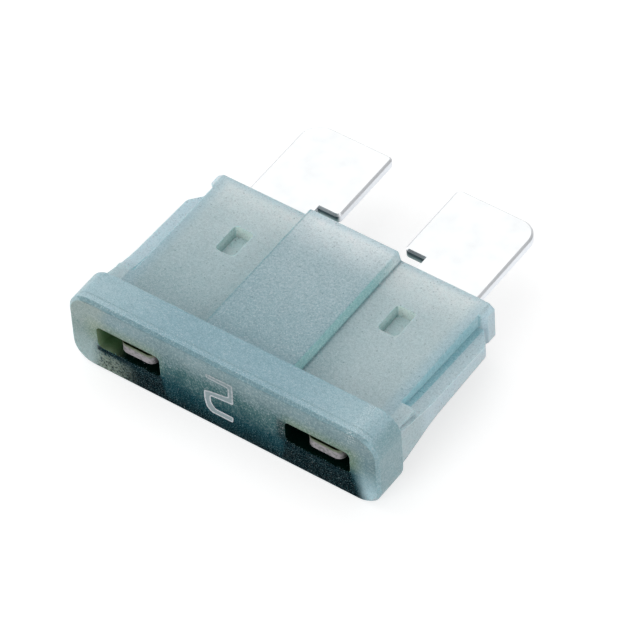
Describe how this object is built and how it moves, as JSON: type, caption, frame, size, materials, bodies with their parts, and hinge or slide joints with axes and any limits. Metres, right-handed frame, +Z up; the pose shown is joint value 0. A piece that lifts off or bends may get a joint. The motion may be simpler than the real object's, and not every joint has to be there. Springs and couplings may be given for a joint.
{
  "type": "plug-in blade fuse",
  "caption": "Plug-in blade fuse lying on its broad side: a frosted housing with test windows in its head, around a stamped strip whose flat blades stand out of the far end.",
  "frame": {"origin": "on the surface the fuse lies on, under the middle of its bounding box", "axes": "+X across the blades, +Y from the head towards the blade tips, +Z up, square to the broad faces"},
  "size_m": [0.0194, 0.0184, 0.005],
  "materials": {
    "frosted_plastic": "frosted translucent grey-blue moulding",
    "tinned_strip": "bright tin plating over zinc strip"
  },
  "bodies": {
    "root": {"housing": "frosted_plastic", "fuse_element": "tinned_strip"}
  },
  "joints": []
}
